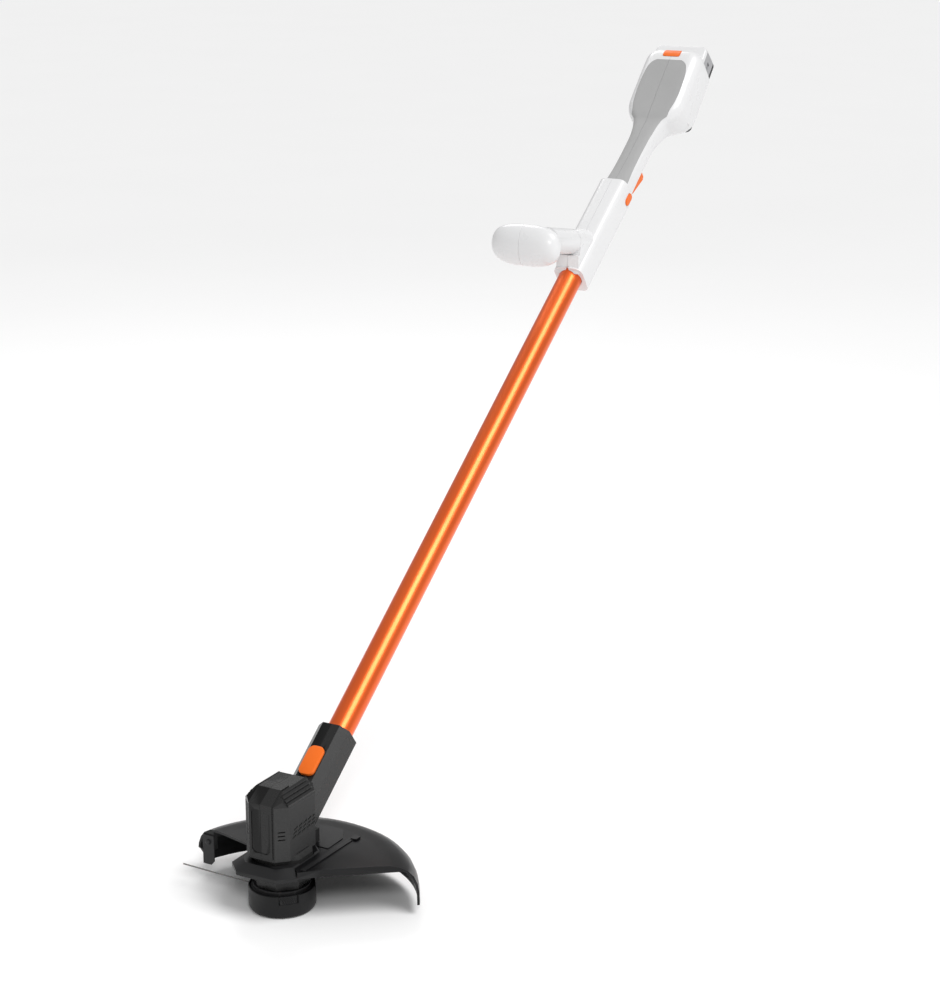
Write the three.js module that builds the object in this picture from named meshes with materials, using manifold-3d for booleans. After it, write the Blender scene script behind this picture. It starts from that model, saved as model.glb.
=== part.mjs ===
// Cordless string trimmer and edger: motor head with line spool and debris guard, straight
// tube shaft, and a two-shell handle that carries the switch gear and a slide-on battery.
// Millimetres, +Z up. The origin is on the spool axis at the bottom of the spool cap,
// +X points back towards the user, and the XZ plane is the plane of symmetry.
import * as THREE from 'three';
import { mergeVertices } from 'three/addons/utils/BufferGeometryUtils.js';
import Module from 'manifold-3d';

const wasm = await Module();
wasm.setup();

// ---------------------------------------------------------------- driving dimensions
const GAP = 0.3;              // air between two neighbouring pieces
const WALL = 2.6;             // moulded shell wall
const FAR = 400;              // half size of the blocks used for half-space cuts
const SHAFT_TILT = THREE.MathUtils.degToRad(37);   // shaft elevation over the ground
const SHAFT_CROSS_Z = 69;     // height at which the shaft axis meets the spool axis
const DOCK_PITCH = THREE.MathUtils.degToRad(10.8);    // battery dock tilts up from the shaft

const TUBE = { radius: 15, wall: 1.4, start: 72, end: 930 };
const CAP = { radius: 36.8, height: 27, wall: 2.4 };
const TOWER = { front: -37, back: 36, half: 28, bevel: 12.5, base: 68, top: 144, bandHalf: 15.5 };
const NECK = { bottom: 30.5, topRadius: 37, bottomRadius: 31 };
const SOCKET = { half: 20, top: 22, bottom: -19, chamfer: 9, start: 26, end: 147 };
const COLLAR = { front: 50, side: 42, chamfer: 17, edgeLow: 49, edgeHigh: 55, top: 62.5 };
const GUARD = { plateTop: 61, rimLow: 12, thick: 2.6 };
const MOTOR = { radius: 19, bottom: 60, top: 114, shaftRadius: 2.5 };
const BUTTON = { s: 96.5, length: 37, width: 19.5, proud: 3 };
const HANDLE = { start: 848, wall: 3 };
const DOCK = { s: 1159, n: -26 };
const BATTERY = { length: 115, half: 36.8, thick: 39, corner: 7 };
const ARM = { radius: 16, joint: 674, z: 626.5, rise: THREE.MathUtils.degToRad(10) };
const BAR = { x: 610, z: 629, yNear: -18, yFar: 74, halfX: 17, halfZ: 26, capAt: 30 };

// ---------------------------------------------------------------- materials
const paint = (color, roughness, metalness = 0) =>
  () => new THREE.MeshStandardMaterial({ color, roughness, metalness });
const BLACK = paint(0x1c1c1d, 0.55);
const WHITE = paint(0xf2f2f2, 0.35);
const GREY = paint(0xb4b4b6, 0.75);
const MID_GREY = paint(0x8e9092, 0.6);
const ORANGE = paint(0xe4622a, 0.45);
const TUBE_ORANGE = paint(0xe0562c, 0.32, 0.3);
const STEEL = paint(0xb8babd, 0.35, 1);
const NYLON = paint(0x6f7174, 0.5);
const BOARD = paint(0x1f5a35, 0.6);
const CELL = paint(0x3c6ea5, 0.4);

// ---------------------------------------------------------------- solid helpers
function solid(geometry) {
  const bare = geometry.clone();
  bare.deleteAttribute('normal');
  bare.deleteAttribute('uv');
  const welded = mergeVertices(bare, 1e-4);
  return new wasm.Manifold(new wasm.Mesh({
    numProp: 3,
    vertProperties: new Float32Array(welded.attributes.position.array),
    triVerts: new Uint32Array(welded.index.array),
  }));
}

function geometryOf(manifold) {
  const mesh = manifold.getMesh();
  const geometry = new THREE.BufferGeometry();
  geometry.setAttribute('position', new THREE.BufferAttribute(mesh.vertProperties, 3));
  geometry.setIndex(new THREE.BufferAttribute(mesh.triVerts, 1));
  geometry.computeVertexNormals();
  return geometry;
}

const join = (first, ...rest) => rest.reduce((sum, next) => sum.add(next), first);
const cut = (first, ...rest) => rest.reduce((left, next) => left.subtract(next), first);
const clip = (first, ...rest) => rest.reduce((left, next) => left.intersect(next), first);

// A block between two corners, turned into a solid.
function block(low, high) {
  const size = high.map((value, axis) => value - low[axis]);
  const geometry = new THREE.BoxGeometry(...size);
  geometry.translate(...low.map((value, axis) => value + size[axis] / 2));
  return solid(geometry);
}

// A straight bar of the given outline, from z = low to z = high.
function prism(shape, low, high, curveSegments = 6) {
  const settings = { depth: high - low, bevelEnabled: false, curveSegments };
  const geometry = new THREE.ExtrudeGeometry(shape, settings);
  geometry.translate(0, 0, low);
  return geometry;
}

// The same bar laid so that its outline is seen from -Y: shape x is X, shape y is Z.
function sideways(shape, low, high, curveSegments = 6) {
  const geometry = prism(shape, -high, -low, curveSegments);
  geometry.rotateX(Math.PI / 2);
  return geometry;
}

// The same bar laid along X: shape x is Y, shape y is Z.
function lengthways(shape, low, high, curveSegments = 6) {
  const geometry = prism(shape, low, high, curveSegments);
  geometry.rotateX(Math.PI / 2);
  geometry.rotateZ(Math.PI / 2);
  return geometry;
}

const outline = (points) => new THREE.Shape(points.map(([x, y]) => new THREE.Vector2(x, y)));

// A round solid about Z from [radius, z] pairs listed from the bottom of the axis to its top.
function turned(profile, sides = 32) {
  const geometry = new THREE.LatheGeometry(profile.map(([r, z]) => new THREE.Vector2(r, z)), sides);
  geometry.rotateX(Math.PI / 2);
  return geometry;
}

const rod = (radius, low, high, sides = 24) =>
  turned([[0, low], [radius, low], [radius, high], [0, high]], sides);

const tube = (outer, inner, low, high, sides = 32) =>
  turned([[inner, low], [outer, low], [outer, high], [inner, high], [inner, low]], sides);

// Lays a geometry built along Z along X or Y instead.
function laid(geometry, axis) {
  if (axis === 'x') geometry.rotateY(Math.PI / 2);
  if (axis === 'y') geometry.rotateX(-Math.PI / 2);
  return geometry;
}

function roundedRect(halfX, halfY, radius, centreX = 0, centreY = 0) {
  const shape = new THREE.Shape();
  const corners = [[1, 1, 0], [-1, 1, 0.5], [-1, -1, 1], [1, -1, 1.5]];
  for (const [signX, signY, turn] of corners) {
    const cx = centreX + signX * (halfX - radius);
    const cy = centreY + signY * (halfY - radius);
    shape.absarc(cx, cy, radius, turn * Math.PI, (turn + 0.5) * Math.PI, false);
  }
  shape.closePath();
  return shape;
}

// An eight-sided outline: a rectangle with its corners cut off.
function octagon(lowX, highX, half, chamferFront, chamferBack = chamferFront) {
  return outline([
    [lowX, -(half - chamferFront)], [lowX + chamferFront, -half],
    [highX - chamferBack, -half], [highX, -(half - chamferBack)],
    [highX, half - chamferBack], [highX - chamferBack, half],
    [lowX + chamferFront, half], [lowX, half - chamferFront],
  ]);
}

// Joins closed rings of equal count into one skin with flat ends.
function loft(rings) {
  const count = rings[0].length;
  const positions = rings.flat().flatMap((point) => [point.x, point.y, point.z]);
  const index = [];
  for (let row = 0; row + 1 < rings.length; row += 1) {
    for (let k = 0; k < count; k += 1) {
      const next = (k + 1) % count;
      const [a, b] = [row * count + k, row * count + next];
      const [c, d] = [a + count, b + count];
      index.push(a, b, d, a, d, c);
    }
  }
  [0, rings.length - 1].forEach((row) => {
    const centre = positions.length / 3;
    const sum = rings[row].reduce((total, point) => total.add(point), new THREE.Vector3());
    positions.push(...sum.divideScalar(count).toArray());
    for (let k = 0; k < count; k += 1) {
      const [a, b] = [row * count + k, row * count + ((k + 1) % count)];
      if (row === 0) index.push(centre, b, a);
      else index.push(centre, a, b);
    }
  });
  const geometry = new THREE.BufferGeometry();
  geometry.setAttribute('position', new THREE.Float32BufferAttribute(positions, 3));
  geometry.setIndex(index);
  return geometry;
}

// A helical wire along Z.
class Coil extends THREE.Curve {
  constructor(radius, low, high, turns) {
    super();
    Object.assign(this, { radius, low, high, turns });
  }

  getPoint(t, target = new THREE.Vector3()) {
    const angle = t * this.turns * 2 * Math.PI;
    const z = this.low + (this.high - this.low) * t;
    return target.set(this.radius * Math.cos(angle), this.radius * Math.sin(angle), z);
  }
}

function spring(radius, wire, low, high, turns) {
  const section = new THREE.Shape();
  section.absarc(0, 0, wire / 2, 0, 2 * Math.PI, false);
  const path = new Coil(radius, low + wire / 2, high - wire / 2, turns);
  return new THREE.ExtrudeGeometry(section, { steps: turns * 8, extrudePath: path, curveSegments: 2 });
}

const rightSide = () => block([-FAR * 4, -FAR, -FAR * 4], [FAR * 4, -GAP / 2, FAR * 4]);
const leftSide = () => block([-FAR * 4, GAP / 2, -FAR * 4], [FAR * 4, FAR, FAR * 4]);

const object = new THREE.Group();
const shaftFrame = new THREE.Group();
shaftFrame.position.set(0, 0, SHAFT_CROSS_Z);
shaftFrame.rotation.y = -SHAFT_TILT;
const dockFrame = new THREE.Group();
dockFrame.position.set(DOCK.s, 0, DOCK.n);
dockFrame.rotation.y = -DOCK_PITCH;
object.add(shaftFrame);
shaftFrame.add(dockFrame);
[object, shaftFrame, dockFrame].forEach((group) => group.updateMatrixWorld(true));

// Solids given in the shaft frame, the dock frame or the ground frame, moved between them.
const shaftToGround = (geometry) => geometry.applyMatrix4(shaftFrame.matrixWorld);
const groundToShaft = (geometry) => geometry.applyMatrix4(shaftFrame.matrixWorld.clone().invert());
const dockToShaft = (geometry) => geometry.applyMatrix4(dockFrame.matrix);

function piece(name, shape, material, parent = object) {
  const geometry = shape.isBufferGeometry ? shape : geometryOf(shape);
  const mesh = new THREE.Mesh(geometry, material());
  mesh.name = name;
  parent.add(mesh);
  return mesh;
}

// ---------------------------------------------------------------- motor head shells
function towerSolid(inset) {
  const { front, back, half, bevel, top, bandHalf } = TOWER;
  const base = TOWER.base + (inset > 0 ? -FAR : 0);
  const plan = octagon(front + inset, back - inset, half - inset, bevel - inset * 0.6, 11 - inset * 0.6);
  const shoulder = outline([
    [front + inset, base], [back - inset, base], [back - inset, top - 14 - inset],
    [24, top - inset], [-19, top - 1 - inset], [front + inset, top - 13 - inset],
  ]);
  const gable = outline([
    [-half + inset, base], [half - inset, base], [half - inset, top - 16 - inset],
    [bandHalf - inset * 0.4, top + 0.5 - inset], [-bandHalf + inset * 0.4, top + 0.5 - inset],
    [-half + inset, top - 16 - inset],
  ]);
  return clip(
    solid(prism(plan, base, top + 2)),
    solid(sideways(shoulder, -FAR, FAR)),
    solid(lengthways(gable, -FAR, FAR)),
  );
}

function socketSolid(inset, start, end) {
  const { half, top, bottom, chamfer } = SOCKET;
  const c = chamfer - inset * 0.6;
  const [y, high, low] = [half - inset, top - inset, bottom + inset];
  const section = outline([
    [-y, low + c], [-y + c, low], [y - c, low], [y, low + c],
    [y, high - c], [y - c, high], [-y + c, high], [-y, high - c],
  ]);
  return solid(shaftToGround(lengthways(section, start, end)));
}

function neckRing(radius, z) {
  const points = [];
  for (let k = 0; k < 8; k += 1) {
    const angle = (k + 0.5) * Math.PI / 4;
    points.push(new THREE.Vector3(radius * Math.cos(angle), radius * Math.sin(angle), z));
  }
  return points;
}

function neckSolid(inset) {
  const bottom = NECK.bottom - (inset > 0 ? 5 : 0);
  return solid(loft([
    neckRing(NECK.bottomRadius - inset, bottom),
    neckRing(NECK.topRadius - 1 - inset, COLLAR.edgeLow),
    neckRing(NECK.topRadius - 3 - inset, TOWER.base + (inset > 0 ? -1 : 3)),
  ]));
}

// Rows of short slanted vents in each side wall of the tower.
function ventCutters() {
  const cutters = [];
  const length = 7;
  const slant = 0.25;
  for (let row = 0; row < 3; row += 1) {
    for (let column = 0; column < 5; column += 1) {
      const x = -19 + column * 9 + row * 1.5;
      const z = 90.5 + row * 4.3 + column * 0.6;
      const rise = length * slant;
      const shape = outline([[x, z], [x + length, z + rise], [x + length, z + rise + 2.3], [x, z + 2.3]]);
      cutters.push(solid(sideways(shape, -FAR, -TOWER.half + WALL + 2)));
      cutters.push(solid(sideways(shape, TOWER.half - WALL - 2, FAR)));
    }
  }
  return cutters;
}

// Four ribs that stand proud of each sloping shoulder of the tower.
function shoulderRibs() {
  const proud = 1.2;
  const ribs = [];
  for (const side of [-1, 1]) {
    for (let k = 0; k < 4; k += 1) {
      const y = side * (TOWER.bandHalf + 2.4 + k * 2.9);
      ribs.push(block([-25, y - 0.8, TOWER.top - 30], [26, y + 0.8, FAR]));
    }
  }
  return clip(join(...ribs), towerSolid(-proud));
}

// The raised band down the front of the tower, with a sunken panel in it.
function frontBand() {
  const proud = 1.4;
  const { front, bandHalf, top } = TOWER;
  const band = clip(
    towerSolid(-proud),
    block([-FAR, -bandHalf + 1, TOWER.base + 3], [-4, bandHalf - 1, FAR]),
  );
  const [panelLow, panelHigh] = [TOWER.base + 8, top - 18];
  const panelHalf = (panelHigh - panelLow) / 2;
  const panel = roundedRect(bandHalf - 4, panelHalf, 6, 0, panelLow + panelHalf);
  return cut(band, solid(lengthways(panel, -FAR, front - proud + 0.8)));
}

// Three slits in each front corner of the tower.
function cornerSlits() {
  const { front, half, bevel } = TOWER;
  const cutters = [];
  for (const side of [-1, 1]) {
    for (let k = 0; k < 3; k += 1) {
      const slit = new THREE.BoxGeometry(10, 8, 1.5);
      slit.rotateZ(-side * Math.PI / 4);
      slit.translate(front + bevel / 2, side * (half - bevel / 2), 93 + k * 4.4);
      cutters.push(solid(slit));
    }
  }
  return cutters;
}

// Shell screws at [x, z, head seat], and guard screws at [x, y].
const HEAD_SCREWS = [[27, 90, 20], [-25, 84, 20]];
const GUARD_SCREWS = [[39, -14], [39, 14]];

function headShells() {
  const boss = block([33, -20, COLLAR.top + GAP], [45, 20, 78]);
  const outer = join(
    towerSolid(0), shoulderRibs(), frontBand(), socketSolid(0, SOCKET.start, SOCKET.end), neckSolid(0), boss,
  );
  const screwBosses = HEAD_SCREWS.map(([x, z]) => solid(laid(rod(4, -60, 60, 16), 'y').translate(x, 0, z)));
  const innerTower = cut(
    clip(towerSolid(WALL), block([-FAR, -FAR, TOWER.base + WALL], [FAR, FAR, FAR])),
    ...screwBosses,
  );
  const bore = solid(shaftToGround(laid(rod(TUBE.radius + 2.2, 58, SOCKET.end + 1, 32), 'x')));
  const socketHollow = socketSolid(WALL, SOCKET.start + 6, 60);
  const pocket = solid(shaftToGround(prism(
    roundedRect(BUTTON.length / 2 + 0.8, BUTTON.width / 2 + 0.8, 7, BUTTON.s, 0),
    TUBE.radius + 1, SOCKET.top + 5,
  )));
  const floorBore = solid(rod(8.3, 20, 60, 24));
  const neckHollow = solid(loft([
    neckRing(NECK.bottomRadius - WALL, NECK.bottom + WALL),
    neckRing(NECK.topRadius - 3 - WALL, COLLAR.edgeLow + 3),
    neckRing(NECK.topRadius - 4 - WALL, TOWER.base + WALL + 1),
  ]));
  const screwHoles = [
    ...HEAD_SCREWS.map(([x, z, head]) => screwHole(head).translate([x, 0, z])),
    ...GUARD_SCREWS.map(([x, y]) => solid(rod(1.5, 50, 74, 12).translate(x, y, 0))),
  ];
  const hollow = join(innerTower, socketHollow, bore, pocket, floorBore, neckHollow, ...screwHoles);
  const whole = cut(outer, hollow, ...ventCutters(), ...cornerSlits());
  piece('head_shell_left', clip(whole, leftSide()), BLACK);
  piece('head_shell_right', clip(whole, rightSide()), BLACK);
  HEAD_SCREWS.forEach(([x, z, head], k) => {
    const screw = piece(`head_screw_${k + 1}`, screwShape(3, 1.4, head + 7.5), STEEL);
    screw.rotation.x = -Math.PI / 2;
    screw.position.set(x, head + GAP, z);
  });
}
headShells();

// ---------------------------------------------------------------- motor and drive
function driveTrain() {
  const { radius, bottom, top, shaftRadius } = MOTOR;
  piece('motor', cut(
    join(solid(rod(radius, bottom, top, 28)), solid(rod(7, bottom - 3, top + 1, 20))),
    solid(rod(shaftRadius + GAP, 0, FAR, 16)),
  ), STEEL);
  piece('motor_bracket', tube(23, 7.4, bottom - 3.4, bottom - GAP, 28), MID_GREY);
  piece('shaft_bearing', tube(8, shaftRadius + GAP, NECK.bottom + 0.6, NECK.bottom + 5.6, 24), STEEL);
  piece('motor_shaft', rod(shaftRadius, 14, top + 9, 16), STEEL);
  const blades = [tube(5, shaftRadius + GAP, top + 2, top + 8, 16)].map(solid);
  const bladeCount = 6;
  for (let k = 0; k < bladeCount; k += 1) {
    const blade = new THREE.BoxGeometry(12, 1.2, 5);
    blade.rotateX(0.6);
    blade.translate(10, 0, top + 5);
    blade.rotateZ(k * 2 * Math.PI / bladeCount);
    blades.push(solid(blade));
  }
  piece('cooling_fan', join(...blades), BLACK);
}
driveTrain();

// ---------------------------------------------------------------- line spool
const LATCH = { half: THREE.MathUtils.degToRad(15), low: 17.5, at: [-135, 45] };
const LINE = { exit: [-9.6, 36.6, 22.5], tip: [-12.8, 121.9, 26.5], radius: 0.9 };

// A wedge-shaped block of a ring: the given radii and heights, within half an angle of zero.
function ringSector(outer, inner, low, high, half, steps = 6) {
  const points = [];
  for (let k = 0; k <= steps; k += 1) {
    const angle = -half + 2 * half * k / steps;
    points.push([outer * Math.cos(angle), outer * Math.sin(angle)]);
  }
  for (let k = steps; k >= 0; k -= 1) {
    const angle = -half + 2 * half * k / steps;
    points.push([inner * Math.cos(angle), inner * Math.sin(angle)]);
  }
  return prism(outline(points), low, high);
}

// Slanted finger grooves in the outer face of a latch that lies on +X.
function latchGrooves() {
  const grooves = [];
  for (let k = -3; k <= 3; k += 1) {
    const groove = new THREE.BoxGeometry(1.2, 0.9, 14);
    groove.rotateX(0.35);
    groove.translate(CAP.radius + 0.05, 0, (LATCH.low + CAP.height) / 2);
    groove.rotateZ(k * 0.07);
    grooves.push(solid(groove));
  }
  return grooves;
}

function spoolAssembly() {
  const { radius, height, wall } = CAP;
  const latchTurns = LATCH.at.map(THREE.MathUtils.degToRad);
  const cup = solid(turned([
    [0, 0], [radius - 5, 0], [radius - 1.5, 1.6], [radius, 5], [radius, height - 1],
    [radius - 0.8, height], [radius - wall, height], [radius - wall, 6], [radius - 6, wall], [0, wall],
  ], 48));
  const windows = latchTurns.map((turn) => {
    const margin = 1.2 / radius;
    const half = LATCH.half + margin;
    const window = ringSector(radius + 2, radius - wall - 3, LATCH.low - 0.4, height + 1, half);
    return solid(window.rotateZ(turn));
  });
  const exitAngle = Math.atan2(LINE.exit[1], LINE.exit[0]);
  const eyeletBore = laid(rod(2.8, radius - 6, radius + 4, 16), 'x');
  eyeletBore.rotateZ(exitAngle);
  eyeletBore.translate(0, 0, LINE.exit[2]);
  piece('spool_cap', cut(cup, ...windows, solid(eyeletBore)), BLACK);

  const eyelet = laid(tube(2.5, 1.3, radius - 2.6, radius + 0.8, 16), 'x');
  eyelet.rotateZ(exitAngle);
  eyelet.translate(0, 0, LINE.exit[2]);
  piece('line_eyelet', eyelet, STEEL);

  latchTurns.forEach((turn, k) => {
    const latch = solid(ringSector(radius - 0.1, radius - wall, LATCH.low, height - 0.2, LATCH.half, 10));
    const grip = cut(latch, ...latchGrooves());
    piece(`cap_latch_${k + 1}`, grip.rotate([0, 0, LATCH.at[k]]), BLACK);
  });

  const plateRadius = radius - wall - GAP;
  const notches = latchTurns.map((turn) => solid(
    ringSector(radius, plateRadius - 2.4, 0, FAR, LATCH.half + 0.05).rotateZ(turn),
  ));
  const top = NECK.bottom - 0.8;
  piece('spool_base', cut(
    solid(turned([
      [MOTOR.shaftRadius + GAP, 12], [7.4, 12], [7.4, 24.3], [plateRadius, 24.3], [plateRadius, 26],
      [31.5, 27], [31.5, top], [MOTOR.shaftRadius + GAP, top], [MOTOR.shaftRadius + GAP, 12],
    ], 40)),
    ...notches,
  ), BLACK);
  piece('line_spool', turned([
    [7.8, 10], [30, 10], [30, 11.5], [13, 11.5], [13, 20.6], [30, 20.6], [30, 22], [7.8, 22], [7.8, 10],
  ], 32), MID_GREY);
  piece('wound_line', tube(26, 13.3, 11.8, 20.3, 32), NYLON);
  piece('spool_spring', spring(10, 1, wall + GAP, 9.7, 3), STEEL);

  const from = new THREE.Vector3(...LINE.exit);
  const to = new THREE.Vector3(...LINE.tip);
  const line = rod(LINE.radius, 0, from.distanceTo(to), 8);
  line.lookAt(to.clone().sub(from));
  line.translate(...from.toArray());
  piece('cutting_line', line, NYLON);
}
spoolAssembly();

// ---------------------------------------------------------------- debris guard
const GUARD_CENTRE = [-14, -13];
const GUARD_SCREW_SEAT = 55;
const CUTTER = { x: 20, yLow: 101, yHigh: 116, low: 17, screwZ: 44 };

// The full dome that the guard is cut from, offset inwards by drop.
function guardDome(drop) {
  const { plateTop, rimLow } = GUARD;
  const slope = 0.7 * drop;
  const low = drop > 0 ? rimLow - 5 : rimLow;
  const dome = turned([
    [0, low], [145.5 - drop, low], [145 - drop, 27], [143.4 - drop, 37 - slope * 0.3],
    [139.6 - slope, 46 - slope], [133.5 - slope, 53 - slope], [125 - slope, 58 - slope],
    [114 - slope * 0.5, 60.5 - drop], [102, plateTop - drop], [0, plateTop - drop],
  ], 72);
  dome.translate(...GUARD_CENTRE, 0);
  return solid(dome);
}

function collarRing(front, side, z) {
  const bevel = COLLAR.chamfer * side / COLLAR.side;
  const back = 46 - COLLAR.front + front;
  const half = [[back, side - bevel], [back - bevel, side], [bevel - front, side], [-front, side - bevel]];
  const other = half.map(([x, y]) => [x, -y]).reverse();
  return [...half, ...other].map(([x, y]) => new THREE.Vector3(x, y, z));
}

function collarSolid() {
  const { front, side, edgeLow, edgeHigh, top } = COLLAR;
  return solid(loft([
    collarRing(front - 2.5, side - 2.5, edgeLow),
    collarRing(front, side, edgeLow + 1.5),
    collarRing(front, side, edgeHigh),
    collarRing(front - 10, side - 10, top),
  ]));
}

function guard() {
  const { plateTop, thick } = GUARD;
  const plan = outline([
    [-33, -42], [-15, -60], [42, -134], [52, -143.5], [66, -152], [90, -175], [175, -175],
    [175, 175], [33, 175], [17, 102], [3, 45], [-1, 42], [-10, 20], [-10, -20],
  ]);
  const skirt = clip(cut(guardDome(0), guardDome(thick)), solid(prism(plan, 0, 100)));
  const under = plateTop - thick;
  const ribPlan = outline([[-26, -48], [68, -50], [68, -44], [-28, -42]]);
  const panelPlan = outline([
    [34, -38], [64, -38], [82, -28], [85, -22], [85, 22], [82, 28], [64, 38], [34, 38],
  ]);
  const flangePlan = outline([
    [-33, -42], [-15, -60], [42, -134], [51, -142.5], [53, -140], [44.5, -132], [-12, -57.5], [-29, -39],
  ]);
  const additions = [
    clip(solid(prism(flangePlan, 53, 80)), guardDome(0)),
    solid(prism(ribPlan, under, plateTop + 1.2)),
    solid(prism(roundedRect(5, 4, 1.5, 71, -50), under, plateTop + 2.2, 3)),
    solid(prism(panelPlan, under, plateTop + 0.9)),
    clip(block([CUTTER.x - 2, CUTTER.yLow + 1, 34], [CUTTER.x + 5, CUTTER.yHigh - 1, 80]), guardDome(0)),
  ];
  const neckHole = solid(loft([
    neckRing(37, 40), neckRing(36.8, COLLAR.edgeLow), neckRing(34.8, 80),
  ]));
  const screwHoles = GUARD_SCREWS.map(([x, y]) => join(
    solid(rod(1.8, 40, 80, 12).translate(x, y, 0)),
    solid(rod(3.6, 40, GUARD_SCREW_SEAT, 16).translate(x, y, 0)),
  ));
  const cutterHole = laid(rod(1.6, -FAR, FAR, 10), 'x');
  cutterHole.translate(0, (CUTTER.yLow + CUTTER.yHigh) / 2, CUTTER.screwZ);
  const cornerOutline = outline([[-5, -5], [40, -5], [34, 14], [26, 28], [15, 39], [-5, 44]]);
  const cutCorner = solid(sideways(cornerOutline, CUTTER.yHigh, 175));
  const body = cut(
    join(skirt, collarSolid(), ...additions), neckHole, ...screwHoles, solid(cutterHole), cutCorner,
  );
  piece('debris_guard', body, BLACK);

  const bladeOutline = outline([
    [CUTTER.yLow, CUTTER.low + 5], [CUTTER.yLow + 4, CUTTER.low], [CUTTER.yHigh, CUTTER.low],
    [CUTTER.yHigh, 52], [CUTTER.yLow, 52],
  ]);
  const bladeX = CUTTER.x - 2 - GAP;
  piece('line_cutter', cut(solid(lengthways(bladeOutline, bladeX - 1.4, bladeX)), solid(cutterHole)), STEEL);
  const screw = piece('cutter_screw', screwShape(3, 1.3, 8), STEEL);
  screw.rotation.y = -Math.PI / 2;
  screw.position.set(bladeX - 1.4 - GAP, (CUTTER.yLow + CUTTER.yHigh) / 2, CUTTER.screwZ);
  GUARD_SCREWS.forEach(([x, y], k) => {
    const guardScrew = piece(`guard_screw_${k + 1}`, screwShape(3, 1.3, 16), STEEL);
    guardScrew.rotation.x = Math.PI;
    guardScrew.position.set(x, y, GUARD_SCREW_SEAT - GAP);
  });
}

// A pan-head screw: the head stands on z = 0 and the shank points down.
function screwShape(headRadius, shankRadius, length) {
  return turned([
    [0, -length], [shankRadius, -length], [shankRadius, 0], [headRadius, 0],
    [headRadius, 1.2], [headRadius * 0.6, 2], [0, 2],
  ], 12);
}
guard();

// ---------------------------------------------------------------- release button and shaft
function headRelease() {
  const seat = TUBE.radius + 2.2 + 1.4;
  const face = SOCKET.top + BUTTON.proud;
  const cap = new THREE.ExtrudeGeometry(roundedRect(BUTTON.length / 2 - 1.2, BUTTON.width / 2 - 1.2, 5.8), {
    depth: face - seat - 3.4, bevelEnabled: true, bevelSize: 1.2, bevelThickness: 1, bevelSegments: 2,
    curveSegments: 5,
  });
  const button = cut(solid(cap), solid(rod(4.9, -5, 1.5, 16)));
  piece('head_release_button', button, ORANGE, shaftFrame).position.set(BUTTON.s, 0, seat + 3.4);
  const coil = spring(4, 0.8, 0, 2.3, 2);
  piece('head_release_spring', coil, STEEL, shaftFrame).position.set(BUTTON.s, 0, seat + GAP);
}
headRelease();

function shaft() {
  const { radius, wall, start, end } = TUBE;
  piece('shaft_tube', laid(tube(radius, radius - wall, start, end, 32), 'x'), TUBE_ORANGE, shaftFrame);
  const bush = laid(tube(radius + 1.9, radius + GAP, start + 1, SOCKET.end - 4, 32), 'x');
  piece('swivel_bush', bush, MID_GREY, shaftFrame);
  piece('power_lead', laid(rod(3, start - 4, end + 4, 8), 'x'), BLACK, shaftFrame);
}
shaft();

// ---------------------------------------------------------------- handle shells
// Each ring gives, at a distance along the shaft, the half width, top, bottom and corner radii.
// Rings with dock set are measured in the dock frame instead of the shaft frame.
const HANDLE_RINGS = [
  { at: 848, half: 20, top: 18.5, bottom: -21.5, upper: 10, lower: 8 },
  { at: 1008, half: 19.5, top: 18.5, bottom: -21.5, upper: 10, lower: 8 },
  { at: 1012, half: 17, top: 11.5, bottom: -20, upper: 10, lower: 9 },
  { at: 1040, half: 16.2, top: 9.5, bottom: -19.5, upper: 10, lower: 9 },
  { at: 1085, half: 16.2, top: 9, bottom: -19.5, upper: 10, lower: 9 },
  { at: 1106, half: 17, top: 9.5, bottom: -21, upper: 10, lower: 9 },
  { at: -24, dock: true, half: 23, top: 41, bottom: 3, upper: 11, lower: 10 },
  { at: -14, dock: true, half: 31, top: 41.2, bottom: -6, upper: 13, lower: 12 },
  { at: -4, dock: true, half: 37, top: 41.2, bottom: -12, upper: 15, lower: 8 },
  { at: 8, dock: true, half: 40.5, top: 41, bottom: -13, upper: 17, lower: 3 },
  { at: 45, dock: true, half: 41, top: 40.5, bottom: -13, upper: 18, lower: 3 },
  { at: 78, dock: true, half: 41, top: 39, bottom: -13, upper: 18, lower: 3 },
  { at: 86, dock: true, half: 40.2, top: 38.3, bottom: -13, upper: 18, lower: 3 },
  { at: 91, dock: true, half: 38, top: 36.8, bottom: -13, upper: 17, lower: 3 },
  { at: 95, dock: true, half: 34, top: 33.5, bottom: -13, upper: 14, lower: 3 },
  { at: 97.5, dock: true, half: 28.5, top: 29, bottom: -13, upper: 9, lower: 3 },
];

// A crowned rounded rectangle seen along the shaft, with each corner rounded in even steps.
function handleRing({ at, dock, half, top, bottom, upper, lower }, inset) {
  const steps = 3;
  const points = [];
  const corners = [[1, 1, upper], [-1, 1, upper], [-1, -1, lower], [1, -1, lower]];
  corners.forEach(([sideY, sideZ, round], quarter) => {
    const radius = Math.max(0.6, round - inset);
    const reach = sideZ > 0 ? top - inset : -(bottom + inset);
    const centreY = sideY * (half - inset - radius);
    const centreZ = sideZ * (reach - radius);
    for (let k = 0; k <= steps; k += 1) {
      const angle = (quarter + k / steps) * Math.PI / 2;
      points.push([centreY + radius * Math.cos(angle), centreZ + radius * Math.sin(angle)]);
    }
  });
  return points.map(([y, z]) => {
    const point = new THREE.Vector3(at, y, z);
    return dock ? point.applyMatrix4(dockFrame.matrix) : point;
  });
}

function handleSolid(inset, from = 0, to = HANDLE_RINGS.length - 1) {
  const rings = HANDLE_RINGS.slice(from, to + 1).map((ring) => handleRing(ring, inset));
  return solid(loft(rings));
}

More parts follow.
